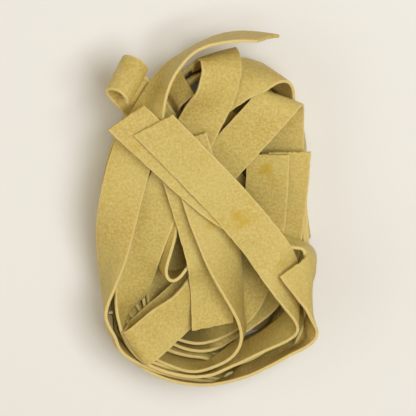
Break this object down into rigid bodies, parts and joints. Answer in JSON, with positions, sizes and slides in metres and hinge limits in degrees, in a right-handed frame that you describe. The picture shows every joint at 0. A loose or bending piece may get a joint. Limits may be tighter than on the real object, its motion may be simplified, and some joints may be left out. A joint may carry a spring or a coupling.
{
  "type": "dry pasta nest",
  "caption": "Nest of dried broad egg pasta ribbons, wound in loops, fanned and folded across its top, with one end rolled to a curl; lies flat.",
  "frame": {"origin": "middle of the underside, where the nest rests", "axes": "+Z up from the surface it lies on, +Y along the nest's length, from the end where the loops turn to the end with the arch and the curl; +X to the right seen from above with +Y up"},
  "size_m": [0.0807, 0.1312, 0.0425],
  "materials": {
    "pasta": "dried egg dough: dull straw yellow with a fine rough grain, a little translucent at thin edges"
  },
  "bodies": {
    "root": {"nest": "pasta"}
  },
  "joints": []
}
